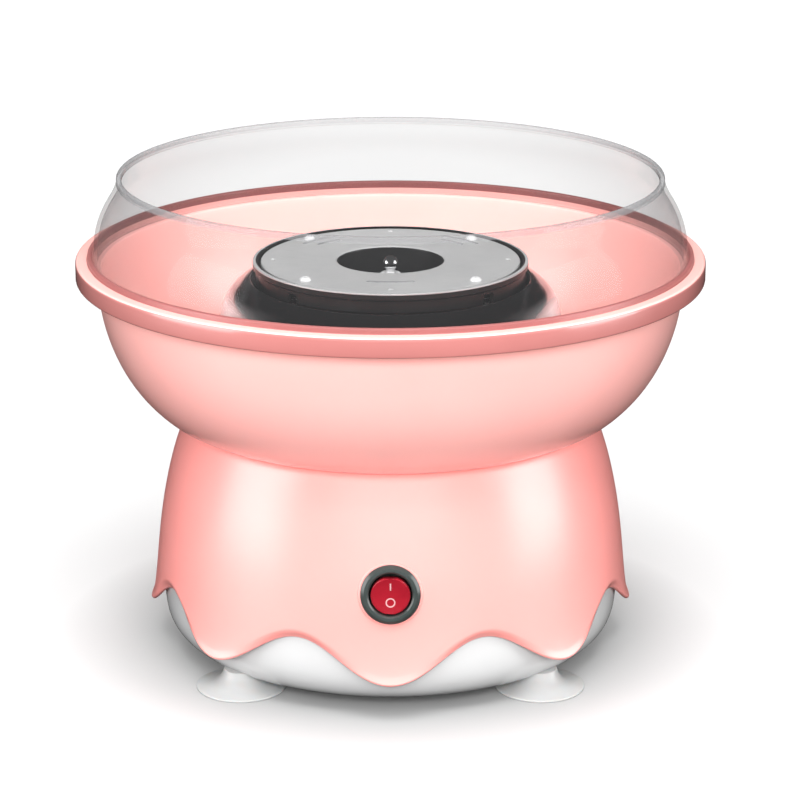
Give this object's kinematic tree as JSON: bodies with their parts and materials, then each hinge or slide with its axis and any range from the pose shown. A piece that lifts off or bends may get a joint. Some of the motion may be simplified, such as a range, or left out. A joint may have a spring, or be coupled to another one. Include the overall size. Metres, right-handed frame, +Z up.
{
  "type": "cotton candy machine",
  "caption": "Table-top cotton candy machine: a wavy-hemmed base on suction feet, a lift-off bowl with a clear shield, and a heated spinning head worked by a rocker switch.",
  "frame": {"origin": "on the surface it stands on, under the spin axis", "axes": "+Z up along the spin axis, -Y towards the front with the rocker switch, +Y towards the cord inlet"},
  "size_m": [0.27, 0.27, 0.21],
  "materials": {
    "pink_plastic": "satin pearl",
    "white_plastic": "gloss",
    "foot_rubber": "satin translucent white",
    "clear_plastic": "clear gloss",
    "red_plastic": "gloss",
    "switch_plastic": "satin",
    "bush_rubber": "matte",
    "shroud_chrome": "polished",
    "plate_grey": "satin",
    "dish_black": "gloss",
    "screw_steel": "plated",
    "nut_chrome": "polished",
    "screen_steel": "ground",
    "sheet_steel": "zinc plated",
    "heater_sheath": "heat darkened",
    "ceramic": "unglazed",
    "brass": "plain",
    "bronze": "sintered",
    "magnet": "matte",
    "copper_coil": "enamelled",
    "black_plastic": "matte",
    "block_plastic": "matte",
    "board_green": "satin",
    "wire_red": "satin",
    "wire_blue": "satin",
    "wire_white": "satin"
  },
  "bodies": {
    "base": {"base_cover": "pink_plastic", "bottom_pan": "white_plastic", "front_left_foot": "foot_rubber", "front_right_foot": "foot_rubber", "rear_left_foot": "foot_rubber", "rear_right_foot": "foot_rubber", "cover_screws": "screw_steel", "switch_housing": "switch_plastic", "switch_terminals": "brass", "cord_inlet_bush": "bush_rubber", "heater_shroud": "shroud_chrome", "chassis_plate": "sheet_steel", "shroud_screws": "screw_steel", "heater_tray": "sheet_steel", "heater_tray_posts": "screw_steel", "heater_element": "heater_sheath", "heater_saddles": "ceramic", "heater_bushes": "ceramic", "thermal_cutout": "brass", "motor_can": "sheet_steel", "motor_end_cap": "black_plastic", "motor_magnets": "magnet", "motor_brushes": "brass", "upper_motor_bush": "bronze", "lower_motor_bush": "bronze", "motor_bracket": "sheet_steel", "motor_dampers": "bush_rubber", "motor_bracket_screws": "screw_steel", "terminal_block": "block_plastic", "terminal_block_screws": "screw_steel", "rectifier_board": "board_green", "rectifier_diodes": "magnet", "board_capacitor": "black_plastic", "live_wire": "wire_red", "switch_wire": "wire_red", "heater_wire": "wire_white", "neutral_wire": "wire_blue", "board_wires": "wire_blue", "motor_wires": "wire_white"},
    "spinner": {"sugar_dish": "dish_black", "head_plate": "plate_grey", "plate_screws": "screw_steel", "outlet_screen": "screen_steel", "hub_washer": "screw_steel", "hub_nut": "screw_steel", "shaft_cap_nut": "nut_chrome", "hub_grub_screw": "screw_steel", "motor_shaft": "screen_steel", "armature_core": "screen_steel", "armature_coils": "copper_coil", "commutator": "bronze", "cooling_fan": "black_plastic"},
    "rocker": {"switch_rocker": "red_plastic"},
    "bowl": {"bowl": "pink_plastic"},
    "shield": {"splash_shield": "clear_plastic"}
  },
  "joints": [
    {"name": "head_spin", "type": "hinge", "parent": "base", "child": "spinner", "pos_m": [0, 0, 0.1], "axis": [0, 0, 1], "continuous": true},
    {"name": "switch_press", "type": "hinge", "parent": "base", "child": "rocker", "pos_m": [0, -0.09907, 0.0557], "axis": [-1, 0, 0], "range_deg": [0, 22]},
    {"name": "bowl_lift", "type": "slide", "parent": "base", "child": "bowl", "axis": [0, 0, 1], "range_m": [0, 0.09]},
    {"name": "shield_lift", "type": "slide", "parent": "bowl", "child": "shield", "axis": [0, 0, 1], "range_m": [0, 0.05]}
  ]
}
